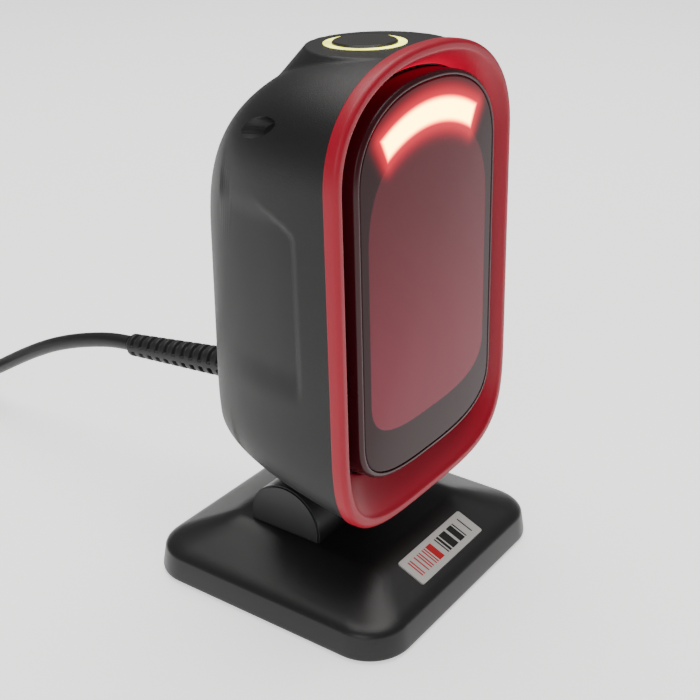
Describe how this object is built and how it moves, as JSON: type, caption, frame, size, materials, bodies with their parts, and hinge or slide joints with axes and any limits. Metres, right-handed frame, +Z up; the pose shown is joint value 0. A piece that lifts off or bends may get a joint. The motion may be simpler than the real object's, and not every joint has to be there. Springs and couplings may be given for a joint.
{
  "type": "hands-free barcode scanner",
  "caption": "Upright barcode-reading head with an arched light bar and a top trigger, tilting on a low weighted foot, with its USB lead coiled behind.",
  "frame": {"origin": "centre of the foot's outline, on the counter it stands on", "axes": "+Z up; the window looks towards -Y; +X to the window's right seen from behind it"},
  "size_m": [0.1055, 0.3352, 0.1567],
  "materials": {
    "black_satin": "satin black moulded cover",
    "black_shell": "fine-grained matte black moulding",
    "black_hinge": "matte black glass-filled moulding",
    "black_cap": "satin black end cap",
    "black_inner": "plain black moulding",
    "black_button": "satin black button",
    "black_frame": "glossy black frame",
    "black_ink": "printed black border",
    "red_bezel": "satin red moulding",
    "smoked_window": "smoked red-tinted window",
    "red_diffuser": "frosted light guide",
    "ring_diffuser": "frosted light ring",
    "circuit_board": "green solder mask",
    "lamp_red": "clear lamp body",
    "lamp_white": "clear lamp body",
    "optic_glass": "coated optic in a black barrel",
    "socket_white": "natural nylon socket",
    "washer_nylon": "natural nylon",
    "screw_steel": "zinc-plated steel",
    "axle_steel": "turned steel",
    "spring_steel": "drawn wire",
    "plated_shell": "nickel-plated pressed shell",
    "nut_brass": "turned brass",
    "zinc_plate": "zinc-plated steel plate",
    "label_silver": "silvered film label",
    "rubber": "soft black rubber",
    "tie_black": "black strap"
  },
  "bodies": {
    "foot": {"base_cover": "black_satin", "base_plate": "black_inner", "ballast_plate": "zinc_plate", "rubber_feet": "rubber", "base_screws": "screw_steel", "label_plate": "label_silver", "pivot_block": "black_hinge", "block_screws": "screw_steel", "knuckle_caps": "black_cap", "axle_bolt": "axle_steel", "axle_nut": "nut_brass", "friction_washers": "washer_nylon", "lead": "rubber", "lead_coil": "rubber", "coil_tie": "tie_black", "lead_tail": "rubber", "usb_plug": "rubber", "usb_shell": "plated_shell"},
    "head": {"rear_housing": "black_shell", "bezel_ring": "red_bezel", "window_frame": "black_frame", "window_lens": "smoked_window", "lens_mask": "black_ink", "light_bar": "red_diffuser", "light_board": "circuit_board", "light_lamps": "lamp_red", "imager_bracket": "black_inner", "camera_module": "black_inner", "camera_lens": "optic_glass", "lamp_board": "circuit_board", "white_lamps": "lamp_white", "main_board": "circuit_board", "board_screws": "screw_steel", "lead_socket": "socket_white", "beeper": "black_inner", "status_ring": "ring_diffuser", "button_guide": "black_inner", "switch_board": "circuit_board", "trigger_switch": "black_inner", "switch_screws": "screw_steel", "button_spring": "spring_steel", "housing_screws": "screw_steel", "tilt_arm": "black_hinge", "arm_screws": "screw_steel", "lead_boot": "rubber"},
    "button": {"trigger_button": "black_button"}
  },
  "joints": [
    {"name": "head_tilt", "type": "hinge", "parent": "foot", "child": "head", "pos_m": [0, 0.006, 0.0245], "axis": [1, 0, 0], "range_deg": [-20, 15], "deforming": ["lead"]},
    {"name": "button_press", "type": "slide", "parent": "head", "child": "button", "axis": [0, -0.0297, -0.9996], "range_m": [0, 0.0008], "stiffness_N_per_m": 600, "springref_m": -0.002, "deforming": ["button_spring"]}
  ]
}
